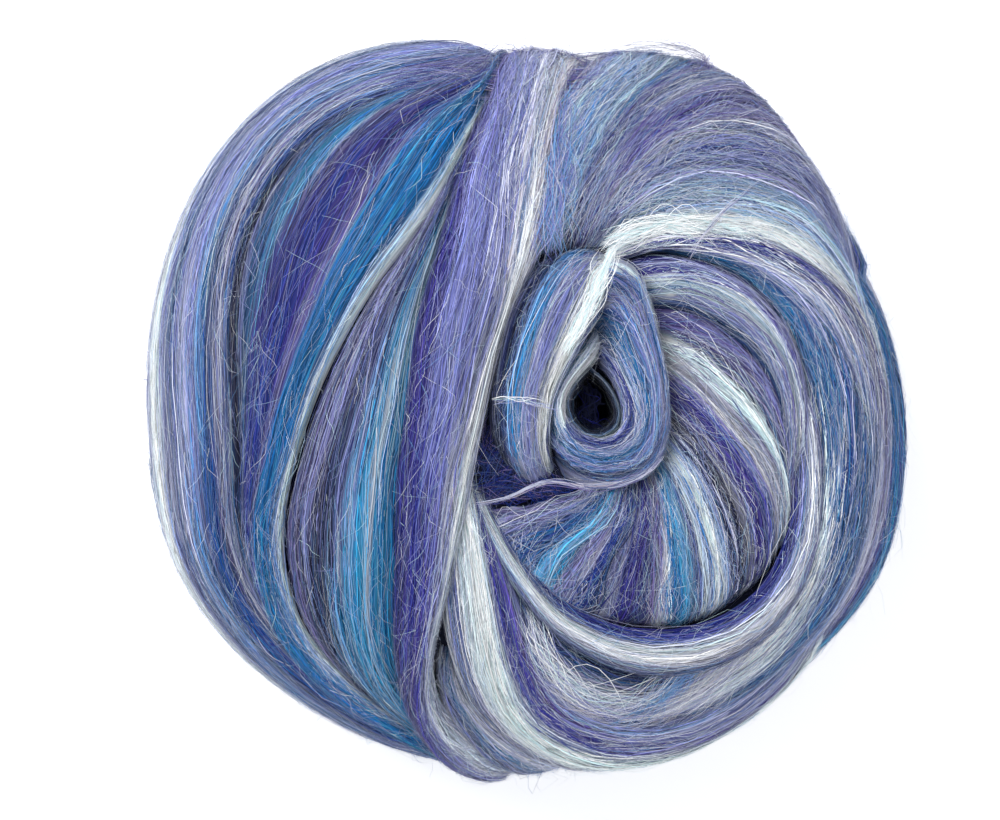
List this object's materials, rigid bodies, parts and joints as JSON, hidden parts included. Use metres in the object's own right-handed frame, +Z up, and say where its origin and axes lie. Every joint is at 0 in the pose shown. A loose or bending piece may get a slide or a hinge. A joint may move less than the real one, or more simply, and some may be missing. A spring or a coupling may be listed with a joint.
{
  "type": "wool roving ball",
  "caption": "Flattened centre-pull ball of combed wool roving with wound turns, a bowl and a narrow eye in its top, resting on a flat spot.",
  "frame": {"origin": "middle of the bottom of the ball's bounding box, on the surface that it rests on", "axes": "+Z up out of the bowl and its eye, +X along the ball's length in plan, towards the side of the bowl, +Y along its width"},
  "size_m": [0.1605, 0.1555, 0.1149],
  "materials": {
    "combed_wool": "combed wool fibres laid side by side, soft sheen, in lilac, periwinkle, indigo, turquoise, slate, mauve and white streaks"
  },
  "bodies": {
    "root": {"roving_ball": "combed_wool"}
  },
  "joints": []
}
